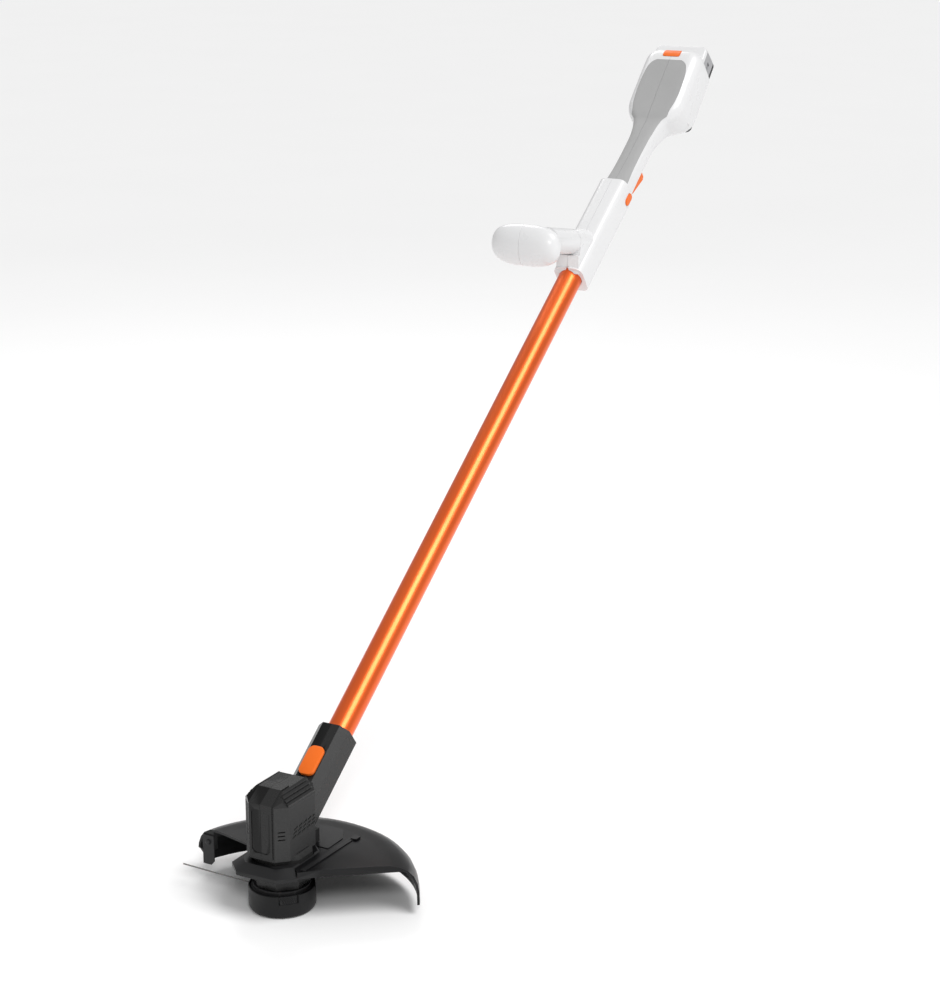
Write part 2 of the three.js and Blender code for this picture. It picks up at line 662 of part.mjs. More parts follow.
// The gusset under the auxiliary handle's arm, in the ground frame.
function pylonSolid(inset) {
  const { radius, joint, z } = ARM;
  const start = joint + (inset > 0 ? inset : 0);
  const length = 62;
  const arm = laid(rod(radius - inset, 0, length, 20), 'x');
  arm.rotateY(ARM.rise);
  arm.translate(start, 0, z);
  const web = outline([
    [668 + inset, 587 + inset], [668 + inset, 610 - inset], [672 + inset, 610 - inset],
    [joint + 0.3 + inset, 621], [joint + 0.3 + inset, z], [705, z - 6], [712, 587 + inset],
  ]);
  const width = radius - 0.5 - inset;
  const webSolid = solid(groundToShaft(sideways(web, -width, width)));
  return join(solid(groundToShaft(arm)), webSolid);
}

const PAD_PLAN = [
  [1013, 24], [1108, 24], [1140, 26], [1158, 29.5], [1177, 31], [1197, 30.5], [1212, 28.5],
  [1221, 24.5], [1226, 18],
];

// A slanted prism over the top of the neck and dock inside which the soft grip lies.
function padRegion(margin) {
  const upper = PAD_PLAN.map(([s, y]) => [s, y - margin]);
  upper[0][0] += margin;
  upper.at(-1)[0] -= margin;
  const lower = upper.slice().reverse().map(([s, y]) => [s, -y]);
  const column = solid(prism(outline([...lower, ...upper]), -10, 60));
  const floor = outline([
    [1000, 5.5 + margin], [1105, 5 + margin], [1125, 6.5 + margin], [1145, 10 + margin],
    [1165, 15 + margin], [1260, 20 + margin], [1260, 90], [1000, 90],
  ]);
  return clip(column, solid(sideways(floor, -60, 60)));
}

const TRIGGER = { s: 1020, n: -16, half: 6, end: 1069, pin: 2 };
const LOCK = { s: 998, n: -7.5, halfLength: 9, halfHeight: 5 };
const LATCH_BUTTON = { d: 87.5, halfLength: 6, halfWidth: 12 };

function stadium(halfX, halfY, centreX = 0, centreY = 0) {
  return roundedRect(halfX, halfY, Math.min(halfX, halfY) - 0.2, centreX, centreY);
}

// Where the shells are screwed together: distance along the shaft, height, and head seat.
const HANDLE_SCREWS = [[882, 24, 9], [940, 0, 13], [1130, 1, 14]];

// A stepped hole along Y for a screw whose head sits at y = head and whose tip reaches -8.
function screwHole(head) {
  return join(
    solid(laid(rod(3.4, head, 60, 16), 'y')),
    solid(laid(rod(1.7, -8.5, head + 1, 12), 'y')),
  );
}

// The two rails inside the dock that run in the grooves of the battery.
function railsOf(dockCut) {
  const [low, high] = [BATTERY.half - 1.7, BATTERY.half + 3];
  return join(dockCut([1, low, -3], [84, high, 3]), dockCut([1, -high, -3], [84, -low, 3]));
}

function handleShells() {
  const outer = join(handleSolid(0), pylonSolid(0));
  const { start, wall } = HANDLE;
  const dockCut = (low, high) => {
    const geometry = new THREE.BoxGeometry(...high.map((value, k) => value - low[k]));
    geometry.translate(...high.map((value, k) => (value + low[k]) / 2));
    return solid(dockToShaft(geometry));
  };
  const inside = handleSolid(wall);
  const chamber = cut(
    inside,
    block([start - 5, -60, -60], [start + 16, 60, 60]),
    block([TUBE.end - 10, -60, -60], [TUBE.end - 3, 60, 60]),
    dockCut([-7, -60, -60], [-1, 60, 12]),
    dockCut([-1, -60, -60], [HANDLE_RINGS.at(-1).at + 5, 60, 20 + wall]),
    dockCut([HANDLE_RINGS.at(-1).at - wall, -60, -60], [200, 60, 60]),
    block([LOCK.s - 7, -5.9, -60], [LOCK.s + 7, -3.5, LOCK.n + 5]),
    ...HANDLE_SCREWS.map(([s, n]) => solid(laid(rod(4.2, -60, 60, 16), 'y').translate(s, 0, n))),
  );
  const pylonHollow = cut(
    clip(pylonSolid(wall), block([start + 16, -60, 5], [TUBE.end - 10, 60, 60])),
    ...HANDLE_SCREWS.map(([s, n]) => solid(laid(rod(4.2, -60, 60, 16), 'y').translate(s, 0, n))),
  );
  const bore = laid(rod(TUBE.radius + GAP, start - 10, TUBE.end + GAP, 32), 'x');
  const roof = BATTERY.thick / 2 + 0.6;
  const bay = dockCut([-1, -BATTERY.half - 0.6, -60], [200, BATTERY.half + 0.6, roof]);
  const mouthOutline = outline([[88, roof], [82, -15], [82, -60], [200, -60], [200, roof]]);
  const mouth = solid(dockToShaft(sideways(mouthOutline, -60, 60)));
  const slotHalf = TRIGGER.half + 0.6;
  const triggerSlot = block([TRIGGER.s - 5, -slotHalf, -60], [TRIGGER.end + 4, slotHalf, -12]);
  const lockSlot = sideways(stadium(LOCK.halfLength + GAP, LOCK.halfHeight + GAP, LOCK.s, LOCK.n), -60, -6.2);
  const { d, halfLength, halfWidth } = LATCH_BUTTON;
  const latchPlan = roundedRect(halfLength + GAP, halfWidth + GAP, 2.5, d, 0);
  const latchSlot = dockToShaft(prism(latchPlan, 22, 60));
  const padPocket = cut(padRegion(0), handleSolid(1.6));
  const shells = cut(
    outer, chamber, pylonHollow, solid(bore), bay, mouth, triggerSlot, solid(lockSlot), solid(latchSlot),
    padPocket,
    dockCut([-8, -14.3, -6.3], [0, 14.3, 6.3]),
    solid(laid(rod(TRIGGER.pin + 0.3, -12.8, 12.8, 16), 'y').translate(TRIGGER.s, 0, TRIGGER.n)),
    solid(laid(rod(3.6, TRIGGER.half, 11.4, 16), 'y').translate(TRIGGER.s, 0, TRIGGER.n)),
    ...HANDLE_SCREWS.map(([s, n, head]) => screwHole(head).translate([s, 0, n])),
  ).add(railsOf(dockCut));
  piece('handle_shell_left', clip(shells, leftSide()), WHITE, shaftFrame);
  piece('handle_shell_right', clip(shells, rightSide()), WHITE, shaftFrame);

  const skin = cut(clip(padRegion(GAP), handleSolid(0)), handleSolid(1.3), solid(latchSlot));
  HANDLE_SCREWS.forEach(([s, n, head], k) => {
    const screw = piece(`handle_screw_${k + 1}`, screwShape(3, 1.4, head + 7.5), STEEL, shaftFrame);
    screw.rotation.x = -Math.PI / 2;
    screw.position.set(s, head + GAP, n);
  });
  piece('grip_pad_left', clip(skin, leftSide()), GREY, shaftFrame);
  piece('grip_pad_right', clip(skin, rightSide()), GREY, shaftFrame);
}
handleShells();

// ---------------------------------------------------------------- controls in the handle
function controls() {
  const { s, n, half, end, pin } = TRIGGER;
  const profile = outline([
    [s - 3.5, n], [s - 2.5, n - 5], [s + 4, n - 11], [s + 13, n - 16.5], [s + 26, n - 19],
    [s + 36, n - 21], [end - 4, n - 23], [end, n - 20.5], [end, n + 2], [s + 6, n + 3], [s - 2, n + 3],
  ]);
  const pinHole = laid(rod(pin + 0.25, -20, 20, 16), 'y').translate(s, 0, n);
  piece('trigger', cut(solid(sideways(profile, -half, half)), solid(pinHole)), ORANGE, shaftFrame);
  piece('trigger_pin', laid(rod(pin, -12.5, 12.5, 16), 'y').translate(s, 0, n), STEEL, shaftFrame);
  const coil = laid(spring(2.9, 0.8, half + 1.2, half + 5, 3), 'y').translate(s, 0, n);
  piece('trigger_spring', coil, STEEL, shaftFrame);
  const switchBody = join(
    block([s + 16, -5.5, -3.5], [s + 36, 5.5, 4.5]),
    block([s + 24, -1.5, -8.3], [s + 27, 1.5, -3]),
  );
  piece('trigger_switch', switchBody, MID_GREY, shaftFrame);

  const outerY = -21.2;
  const button = sideways(stadium(LOCK.halfLength, LOCK.halfHeight, LOCK.s, LOCK.n), outerY, -13);
  const well = laid(rod(4.1, -17, -12, 16), 'y').translate(LOCK.s, 0, LOCK.n);
  piece('lock_off_button', cut(solid(button), solid(well)), ORANGE, shaftFrame);
  const lockSpring = laid(spring(3.3, 0.8, -13.6, -6.3, 4), 'y').translate(LOCK.s, 0, LOCK.n);
  piece('lock_off_spring', lockSpring, STEEL, shaftFrame);
}
controls();

// ---------------------------------------------------------------- dock fittings
const TERMINALS = [-9, 0, 9];

function dockFittings() {
  const blades = TERMINALS.map((y) => block([-2, y - 0.5, -4], [8, y + 0.5, 4]));
  piece('terminal_block', join(block([-6.4, -14, -6], [-1.3, 14, 6]), ...blades), BLACK, dockFrame);
  const parts = [
    block([6, -24, 24.2], [62, 24, 25.8]),
    block([12, -16, 25.5], [26, -4, 31]),
    block([12, 4, 25.5], [24, 16, 33]),
    block([36, -12, 25.5], [52, 12, 28]),
  ];
  piece('control_board', join(...parts), BOARD, dockFrame);

  const { d, halfLength, halfWidth } = LATCH_BUTTON;
  const column = dockToShaft(prism(roundedRect(halfLength, halfWidth, 2.2, d, 0), 26.5, 60));
  const well = dockToShaft(rod(4.1, 20, 29, 16).translate(d, 0, 0));
  const button = cut(clip(solid(column), handleSolid(-0.8)), solid(well));
  piece('battery_release_button', button, ORANGE, shaftFrame);
  const coil = spring(3.3, 0.8, 23.3, 26.3, 2).translate(d, 0, 0);
  piece('battery_release_spring', coil, STEEL, dockFrame);
}
dockFittings();

// ---------------------------------------------------------------- battery pack
const PACK = { split: 12.5, side: 3.7, cellRadius: 9.2, cellLength: 64.5, cellCount: 5 };

// A lid with rounded edges, hollow underneath, lying on the pack frame.
function packCover() {
  const { length, half, thick, corner } = BATTERY;
  const depth = thick / 2 - PACK.split - GAP;
  const round = 3.2;
  const shape = roundedRect(length / 2 - round, half - round, corner - round + 0.5, length / 2, 0);
  const shell = new THREE.ExtrudeGeometry(shape, {
    depth: depth + 4, bevelEnabled: true, bevelSize: round, bevelThickness: round, bevelSegments: 3,
    curveSegments: 5,
  });
  shell.translate(0, 0, thick / 2 - round - depth - 4);
  const inside = prism(roundedRect(length / 2 - 4, half - 4, 4, length / 2, 0), 0, thick / 2 - 2.4, 4);
  const lid = cut(solid(shell), solid(inside));
  return clip(lid, block([-5, -60, PACK.split + GAP], [length + 5, 60, 60]));
}

function batteryPack() {
  const { length, half, corner } = BATTERY;
  const { split, side, cellRadius, cellLength, cellCount } = PACK;
  const outer = prism(roundedRect(length / 2, half, corner, length / 2, 0), -split, split, 6);
  const inner = prism(roundedRect(length / 2 - side, half - side, 3, length / 2, 0), -60, 60, 3);
  const grooves = [-1, 1].map((sign) => {
    const depths = [sign * (half - 2.2), sign * (half + 3)].sort((a, b) => a - b);
    return block([-5, depths[0], -3.5], [length - 14, depths[1], 3.5]);
  });
  const slots = TERMINALS.map((y) => block([-5, y - 1.2, -5], [6, y + 1.2, 5]));
  const vents = [];
  for (let row = 0; row < 3; row += 1) {
    for (let column = 0; column < 9; column += 1) {
      const y = (column - 4) * 6 + (row % 2) * 3 - 1.5;
      vents.push(solid(laid(rod(1.1, -10, 10, 6), 'x').translate(length, y, -9 + row * 3.6)));
    }
  }
  const port = lengthways(stadium(5.1, 2.1, -14, 7), length - 8, length + 5);
  const lamps = [0, 1, 2, 3].map((k) => block([length - 8, 4 + k * 5, 6], [length + 5, 6 + k * 5, 8.5]));
  const frame = cut(solid(outer), solid(inner), ...grooves, ...slots, ...vents, solid(port), ...lamps);
  piece('battery_frame', frame, GREY, dockFrame);
  piece('battery_cover_upper', packCover(), WHITE, dockFrame);
  const lower = piece('battery_cover_lower', packCover(), BLACK, dockFrame);
  lower.rotation.x = Math.PI;
  for (let k = 0; k < cellCount; k += 1) {
    const cell = laid(rod(cellRadius, -cellLength / 2, cellLength / 2, 20), 'y');
    piece(`battery_cell_${k + 1}`, cell, CELL, dockFrame).position.set(20 + k * 19.2, 0, 0);
  }
  const shell = cut(
    solid(lengthways(stadium(4.7, 1.7, -14, 7), length - 7, length - 0.3)),
    solid(lengthways(stadium(4.1, 1.1, -14, 7), length - 6, length + 5)),
  );
  piece('charge_port', shell, STEEL, dockFrame);
  const windows = [0, 1, 2, 3].map(
    (k) => block([length - 6, 4.3 + k * 5, 6.3], [length - 0.3, 5.7 + k * 5, 8.2]),
  );
  const bar = join(block([length - 6, 3, 5.5], [length - 4.2, 22, 9]), ...windows);
  piece('charge_light_bar', bar, WHITE, dockFrame);
}
batteryPack();

// ---------------------------------------------------------------- auxiliary handle
// The bar's outline in plan is a stadium along Y; its section is oval.
function barSolid(inset) {
  const { x, z, yNear, yFar, halfX, halfZ } = BAR;
  const rings = [];
  const ends = [yNear + inset, yFar - inset];
  const round = 20;
  const steps = 5;
  const profile = [];
  for (let k = 0; k <= steps; k += 1) {
    const angle = (k / steps) * Math.PI / 2;
    profile.push([ends[0] + round * (1 - Math.cos(angle)), 0.12 + 0.88 * Math.sin(angle)]);
  }
  for (let k = steps; k >= 0; k -= 1) {
    const angle = (k / steps) * Math.PI / 2;
    profile.push([ends[1] - round * (1 - Math.cos(angle)), 0.12 + 0.88 * Math.sin(angle)]);
  }
  for (const [y, scale] of profile) {
    const ring = [];
    for (let k = 0; k < 20; k += 1) {
      const angle = k / 20 * 2 * Math.PI;
      ring.push(new THREE.Vector3(
        x + (halfX - inset) * scale * Math.sin(angle), y, z + (halfZ - inset) * scale * Math.cos(angle),
      ));
    }
    rings.push(ring);
  }
  return solid(loft(rings));
}

function auxiliaryHandle() {
  const { radius, joint, z, rise } = ARM;
  const reach = joint - BAR.x;
  const arm = (inset, start) => {
    const shape = laid(rod(radius - inset, start, reach, 20), 'x');
    shape.rotateY(-Math.PI + rise);
    shape.translate(joint, 0, z);
    return solid(shape);
  };
  const outer = join(arm(0, GAP), barSolid(0));
  const body = cut(outer, arm(WALL, -2), barSolid(WALL));
  const farSide = (low) => block([0, low, 0], [900, 400, 1200]);
  piece('auxiliary_handle', cut(body, farSide(BAR.capAt)), WHITE);
  piece('auxiliary_end_cap', clip(body, farSide(BAR.capAt + GAP)), WHITE);
}
auxiliaryHandle();

export default object;
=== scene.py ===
import math

import bmesh
import bpy
from mathutils import Matrix, Vector


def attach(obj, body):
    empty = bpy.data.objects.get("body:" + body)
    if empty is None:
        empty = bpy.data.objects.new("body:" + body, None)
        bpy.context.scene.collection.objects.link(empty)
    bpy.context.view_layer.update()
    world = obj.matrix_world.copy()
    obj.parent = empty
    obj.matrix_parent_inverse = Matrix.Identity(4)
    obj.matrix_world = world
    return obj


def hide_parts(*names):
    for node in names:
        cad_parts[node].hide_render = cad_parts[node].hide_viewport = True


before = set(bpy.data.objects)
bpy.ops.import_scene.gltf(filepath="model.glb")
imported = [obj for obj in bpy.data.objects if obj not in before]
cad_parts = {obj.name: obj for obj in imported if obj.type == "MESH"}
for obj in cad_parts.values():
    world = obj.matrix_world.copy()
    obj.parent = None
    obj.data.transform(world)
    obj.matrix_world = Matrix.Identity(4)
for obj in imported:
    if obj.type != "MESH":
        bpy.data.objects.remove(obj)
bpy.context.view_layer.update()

MM = 0.001
FAR = 1400.0                  # beyond every piece, for half-space cuts
SHAFT_TILT = math.radians(37.0)
SHAFT_CROSS_Z = 69.0
DOCK_PITCH = math.radians(10.8)
DOCK_S, DOCK_N = 1159.0, -26.0
GAP = 0.3                     # air between two neighbouring pieces

# ---------------------------------------------------------------- frames of reference
# Shaft frame: X along the shaft, Z square to it, in millimetres. Dock frame: inside it.
SHAFT = Matrix.Translation((0, 0, SHAFT_CROSS_Z)) @ Matrix.Rotation(-SHAFT_TILT, 4, "Y")
DOCK = SHAFT @ Matrix.Translation((DOCK_S, 0, DOCK_N)) @ Matrix.Rotation(-DOCK_PITCH, 4, "Y")
GROUND = Matrix.Identity(4)


# ---------------------------------------------------------------- materials
class Paint:
    """A Principled material with helpers for procedural nodes."""

    def __init__(self, name, rough=0.5, **values):
        self.material = bpy.data.materials.new(name)
        self.material.use_nodes = True
        self.nodes = self.material.node_tree.nodes
        self.links = self.material.node_tree.links
        self.shader = self.nodes["Principled BSDF"]
        self.shader.inputs["Roughness"].default_value = rough
        for key, value in values.items():
            self.shader.inputs[key.replace("_", " ")].default_value = value
        self.place = self.nodes.new("ShaderNodeTexCoord").outputs["Object"]

    def stretched(self, scale):
        node = self.nodes.new("ShaderNodeMapping")
        node.inputs["Scale"].default_value = scale
        self.links.new(self.place, node.inputs["Vector"])
        return node.outputs["Vector"]

    def noise(self, scale, detail=3.0, vector=None):
        node = self.nodes.new("ShaderNodeTexNoise")
        node.inputs["Scale"].default_value = scale
        node.inputs["Detail"].default_value = detail
        self.links.new(vector or self.place, node.inputs["Vector"])
        return node.outputs["Fac"]

    def voronoi(self, scale):
        node = self.nodes.new("ShaderNodeTexVoronoi")
        node.inputs["Scale"].default_value = scale
        self.links.new(self.place, node.inputs["Vector"])
        return node.outputs["Distance"]

    def ramp(self, value, low, high, start=0.0, end=1.0):
        node = self.nodes.new("ShaderNodeMapRange")
        node.inputs["From Min"].default_value = start
        node.inputs["From Max"].default_value = end
        node.inputs["To Min"].default_value = low
        node.inputs["To Max"].default_value = high
        self.links.new(value, node.inputs["Value"])
        return node.outputs["Result"]

    def mix(self, factor, first, second):
        node = self.nodes.new("ShaderNodeMix")
        node.data_type = "RGBA"
        self.links.new(factor, node.inputs["Factor"])
        for socket, value in ((node.inputs[6], first), (node.inputs[7], second)):
            if isinstance(value, tuple):
                socket.default_value = value
            else:
                self.links.new(value, socket)
        return node.outputs[2]

    def blend_value(self, factor, first, second):
        node = self.nodes.new("ShaderNodeMix")
        values = (factor, first, second)
        for socket, value in zip((node.inputs[0], node.inputs[2], node.inputs[3]), values):
            if isinstance(value, (int, float)):
                socket.default_value = value
            else:
                self.links.new(value, socket)
        return node.outputs[0]

    def math(self, operation, first, second=None):
        node = self.nodes.new("ShaderNodeMath")
        node.operation = operation
        for socket, value in zip(node.inputs, (first, second)):
            if value is None:
                continue
            if isinstance(value, (int, float)):
                socket.default_value = value
            else:
                self.links.new(value, socket)
        return node.outputs[0]

    def axis(self, name):
        node = self.nodes.new("ShaderNodeSeparateXYZ")
        self.links.new(self.place, node.inputs[0])
        return node.outputs[name]

    def worn_edges(self, amount=0.5):
        pointiness = self.nodes.new("ShaderNodeNewGeometry").outputs["Pointiness"]
        return self.math("MULTIPLY", self.ramp(pointiness, 0.0, 1.0, 0.52, 0.6), amount)

    def color(self, source):
        self.links.new(source, self.shader.inputs["Base Color"])

    def roughness(self, source):
        self.links.new(source, self.shader.inputs["Roughness"])

    def bump(self, height, strength, distance=0.0004):
        node = self.nodes.new("ShaderNodeBump")
        node.inputs["Strength"].default_value = strength
        node.inputs["Distance"].default_value = distance
        self.links.new(height, node.inputs["Height"])
        self.links.new(node.outputs["Normal"], self.shader.inputs["Normal"])


def gray(value):
    return (value, value, value, 1.0)


def moulded(
    name, base, rough, spread=0.12, grain_scale=1400.0, grain=0.05, coat=0.0, worn=0.0, shine=0.5,
):
    """Plain moulded plastic: cloudy tone, slightly uneven gloss and a fine surface grain."""
    paint = Paint(name, rough, Coat_Weight=coat, Specular_IOR_Level=shine)
    dark = tuple(channel * (1 - spread) for channel in base) + (1.0,)
    light = tuple(min(1.0, channel * (1 + spread)) for channel in base) + (1.0,)
    tone = paint.mix(paint.noise(22.0), dark, light)
    if worn:
        scuffed = tuple(min(1.0, channel * 1.6 + 0.05) for channel in base) + (1.0,)
        tone = paint.mix(paint.worn_edges(worn), tone, scuffed)
    paint.color(tone)
    paint.roughness(paint.ramp(paint.noise(60.0), rough - 0.05, rough + 0.07))
    paint.bump(paint.noise(grain_scale, 2.0), grain, 0.0002)
    return paint.material


PANEL_BAND, PANEL_LOW, PANEL_HIGH, PANEL_BACK = 0.0163, 0.0655, 0.1295, 0.0358


def head_black():
    """Glossy black at the front and charcoal with a spark-eroded grain on the side panels."""
    paint = Paint("head_black", 0.3, Specular_IOR_Level=0.22)
    side = paint.math("GREATER_THAN", paint.math("ABSOLUTE", paint.axis("Y")), PANEL_BAND)
    above = paint.math("GREATER_THAN", paint.axis("Z"), PANEL_LOW)
    below = paint.math("LESS_THAN", paint.axis("Z"), PANEL_HIGH)
    front = paint.math("LESS_THAN", paint.axis("X"), PANEL_BACK)
    panel = side
    for limit in (above, below, front):
        panel = paint.math("MULTIPLY", panel, limit)
    glossy = paint.mix(paint.noise(25.0), gray(0.002), gray(0.004))
    grained = paint.mix(paint.noise(900.0, 4.0), gray(0.004), gray(0.045))
    base = paint.mix(panel, glossy, grained)
    paint.color(paint.mix(paint.worn_edges(0.3), base, gray(0.06)))
    paint.roughness(paint.blend_value(panel, paint.ramp(paint.noise(70.0), 0.22, 0.32), 0.6))
    grain = paint.math("MULTIPLY", paint.noise(1500.0, 3.0), panel)
    paint.bump(grain, 0.6, 0.0004)
    return paint.material


def soft_grip():
    paint = Paint("soft_grip", 0.78, Sheen_Weight=0.15, Sheen_Roughness=0.5)
    paint.color(paint.mix(paint.noise(14.0), gray(0.33), gray(0.40)))
    paint.roughness(paint.ramp(paint.noise(120.0), 0.7, 0.86))
    paint.bump(paint.voronoi(1600.0), 0.35, 0.0003)
    return paint.material


def orange_tube():
    """Satin powder coat with a fine orange-peel and faint scuffs along the shaft."""
    paint = Paint("orange_tube", 0.3, Metallic=0.75, Coat_Weight=0.2, Coat_Roughness=0.12)
    paint.color(paint.mix(paint.noise(9.0), (0.84, 0.12, 0.018, 1), (0.93, 0.16, 0.03, 1)))
    scuffs = paint.noise(500.0, 2.0, paint.stretched((0.06, 1.0, 0.06)))
    paint.roughness(paint.ramp(scuffs, 0.27, 0.4))
    paint.bump(paint.noise(420.0, 2.0), 0.08, 0.0003)
    return paint.material


def brushed_steel(name="steel", rough=0.32):
    paint = Paint(name, rough, Metallic=1.0)
    lines = paint.noise(300.0, 3.0, paint.stretched((1.0, 1.0, 12.0)))
    paint.color(paint.mix(lines, gray(0.42), gray(0.62)))
    paint.roughness(paint.ramp(lines, rough - 0.08, rough + 0.12))
    paint.bump(lines, 0.08, 0.0002)
    return paint.material


def circuit_board():
    paint = Paint("circuit_board", 0.45, Coat_Weight=0.5)
    tracks = paint.math("GREATER_THAN", paint.voronoi(260.0), 0.42)
    paint.color(paint.mix(tracks, (0.015, 0.09, 0.035, 1), (0.03, 0.17, 0.07, 1)))
    paint.bump(tracks, 0.2, 0.0002)
    return paint.material


def nylon_line():
    paint = Paint("nylon_line", 0.38, Subsurface_Weight=0.05)
    paint.color(paint.mix(paint.noise(400.0), gray(0.12), gray(0.2)))
    paint.bump(paint.noise(700.0, 2.0), 0.15, 0.0002)
    return paint.material


LOOKS = {
    "head_black": head_black(),
    "black": moulded(
        "black_plastic", (0.0035, 0.0035, 0.004), 0.3, 0.25, 1200.0, 0.06, worn=0.2, shine=0.25,
    ),
    "dark": moulded("dark_plastic", (0.018, 0.018, 0.019), 0.5, 0.15, 900.0, 0.12, shine=0.35),
    "white": moulded("white_plastic", (0.74, 0.74, 0.745), 0.28, 0.02, 900.0, 0.02, coat=0.15),
    "grey": moulded("grey_plastic", (0.37, 0.37, 0.38), 0.62, 0.06, 1100.0, 0.15),
    "mid_grey": moulded("mid_grey_plastic", (0.2, 0.205, 0.21), 0.55, 0.08, 1100.0, 0.1),
    "orange": moulded("orange_plastic", (0.82, 0.15, 0.012), 0.36, 0.06, 1200.0, 0.06, shine=0.3),
    "lens": moulded("lens", (0.75, 0.78, 0.78), 0.25, 0.03, 1200.0, 0.04),
    "cell_wrap": moulded("cell_wrap", (0.03, 0.11, 0.3), 0.35, 0.08, 600.0, 0.06),
    "grip": soft_grip(),
    "tube": orange_tube(),
    "steel": brushed_steel(),
    "board": circuit_board(),
    "nylon": nylon_line(),
}

NODE_LOOKS = {
    "head_shell_left": "head_black", "head_shell_right": "head_black", "head_release_button": "orange",
    "debris_guard": "black", "spool_cap": "black", "cap_latch_1": "black", "cap_latch_2": "black",
    "spool_base": "dark", "cooling_fan": "dark", "line_spool": "mid_grey", "wound_line": "nylon",
    "cutting_line": "nylon", "shaft_tube": "tube", "swivel_bush": "mid_grey", "power_lead": "dark",
    "motor_bracket": "mid_grey", "handle_shell_left": "white", "handle_shell_right": "white",
    "grip_pad_left": "grip", "grip_pad_right": "grip", "trigger": "orange", "lock_off_button": "orange",
    "battery_release_button": "orange", "trigger_switch": "mid_grey", "terminal_block": "dark",
    "control_board": "board", "battery_frame": "grey", "battery_cover_upper": "white",
    "battery_cover_lower": "dark", "charge_light_bar": "lens", "auxiliary_handle": "white",
    "auxiliary_end_cap": "white", "line_cutter": "dark", "cutter_screw": "dark",
}
EDGE_WIDTHS = {
    "head_shell_left": 0.5, "head_shell_right": 0.5, "debris_guard": 0.6, "spool_cap": 0.25,
    "trigger": 1.2,
    "battery_frame": 0.3, "lock_off_button": 0.8, "battery_release_button": 0.6,
}
DEFAULT_EDGE = 0.2
SHARP_ANGLE = math.radians(28)
WELD_REACH, FLAT_ANGLE = 0.00001, math.radians(0.4)
BUILT_WELD_REACH, BUILT_FLAT_ANGLE = 0.00002, math.radians(0.15)


def round_edges(item, width, angle, weld_reach, flat_angle):
    """Welds the mesh, merges its flat faces and rounds the edges sharper than angle."""
    weld = item.modifiers.new("weld", "WELD")
    weld.merge_threshold = weld_reach
    flat = item.modifiers.new("flat", "DECIMATE")
    flat.decimate_type = "DISSOLVE"
    flat.angle_limit = flat_angle
    bevel = item.modifiers.new("edges", "BEVEL")
    bevel.width = width * MM
    bevel.segments = 3
    bevel.limit_method = "ANGLE"
    bevel.angle_limit = angle
    bevel.harden_normals = True
    bevel.use_clamp_overlap = True


def dress(item, look):
    """Gives an object its finish and smooth shading."""
    item.data.materials.clear()
    item.data.materials.append(LOOKS[look])
    item.data.polygons.foreach_set("use_smooth", [True] * len(item.data.polygons))


def dress_nodes():
    """Gives every node of the part its finish, smooth curves and small rounded edges."""
    for name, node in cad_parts.items():
        for attribute in [a for a in node.data.attributes if a.name == "custom_normal"]:
            node.data.attributes.remove(attribute)
        dress(node, NODE_LOOKS.get(name, "cell_wrap" if name.startswith("battery_cell") else "steel"))
        width = EDGE_WIDTHS.get(name, DEFAULT_EDGE)
        round_edges(node, width, SHARP_ANGLE, WELD_REACH, FLAT_ANGLE)


dress_nodes()


# ---------------------------------------------------------------- mesh building
def mesh_object(name, points, faces, place=GROUND):
    """A new object from points in millimetres, given in the frame called place."""
    mesh = bpy.data.meshes.new(name)
    spots = [(place @ Vector(point)) * MM for point in points]
    mesh.from_pydata(spots, [], faces)
    work = bmesh.new()
    work.from_mesh(mesh)
    bmesh.ops.recalc_face_normals(work, faces=work.faces)
    work.to_mesh(mesh)
    work.free()
    item = bpy.data.objects.new(name, mesh)
    bpy.context.scene.collection.objects.link(item)
    return item


def skin(name, rings, place=GROUND):
    """Closed rings of equal count joined into one body with flat ends."""
    count = len(rings[0])
    points = [point for ring in rings for point in ring]
    faces = []
    for row in range(len(rings) - 1):
        for k in range(count):
            a, b = row * count + k, row * count + (k + 1) % count
            faces.append((a, b, b + count, a + count))
    faces.append(tuple(range(count)))
    faces.append(tuple((len(rings) - 1) * count + k for k in range(count)))
    return mesh_object(name, points, faces, place)


def slab(outline, low, high, along="Z", place=GROUND):
    """A prism: the outline (a, b) pushed from low to high along Z, or along Y with a as X and b as Z."""
    if along == "Z":
        rings = [[(a, b, level) for a, b in outline] for level in (low, high)]
    elif along == "Y":
        rings = [[(a, level, b) for a, b in outline] for level in (low, high)]
    else:
        rings = [[(level, a, b) for a, b in outline] for level in (low, high)]
    return skin("slab", rings, place)


def box(low, high, place=GROUND):
    corners = [(low[0], low[1]), (high[0], low[1]), (high[0], high[1]), (low[0], high[1])]
    return slab(corners, low[2], high[2], "Z", place)


def rounded(half_a, half_b, radius, centre_a=0.0, centre_b=0.0, steps=8):
    points = []
    for quarter, (sign_a, sign_b) in enumerate(((1, 1), (-1, 1), (-1, -1), (1, -1))):
        for k in range(steps + 1):
            angle = (quarter + k / steps) * math.pi / 2
            points.append((
                centre_a + sign_a * (half_a - radius) + radius * math.cos(angle),
                centre_b + sign_b * (half_b - radius) + radius * math.sin(angle),
            ))
    return points


def circle(radius, centre_a=0.0, centre_b=0.0, sides=48):
    turns = [k / sides * 2 * math.pi for k in range(sides)]
    return [(centre_a + radius * math.cos(turn), centre_b + radius * math.sin(turn)) for turn in turns]


def combine(body, other, operation):
    """Joins, cuts or clips body with other, by UNION, DIFFERENCE or INTERSECT."""
    modifier = body.modifiers.new("combine", "BOOLEAN")
    modifier.operation = operation
    modifier.solver = "EXACT"
    modifier.object = other
    graph = bpy.context.evaluated_depsgraph_get()
    made = bpy.data.meshes.new_from_object(body.evaluated_get(graph))
    body.modifiers.clear()
    body.data = made
    bpy.data.objects.remove(other)
    return body


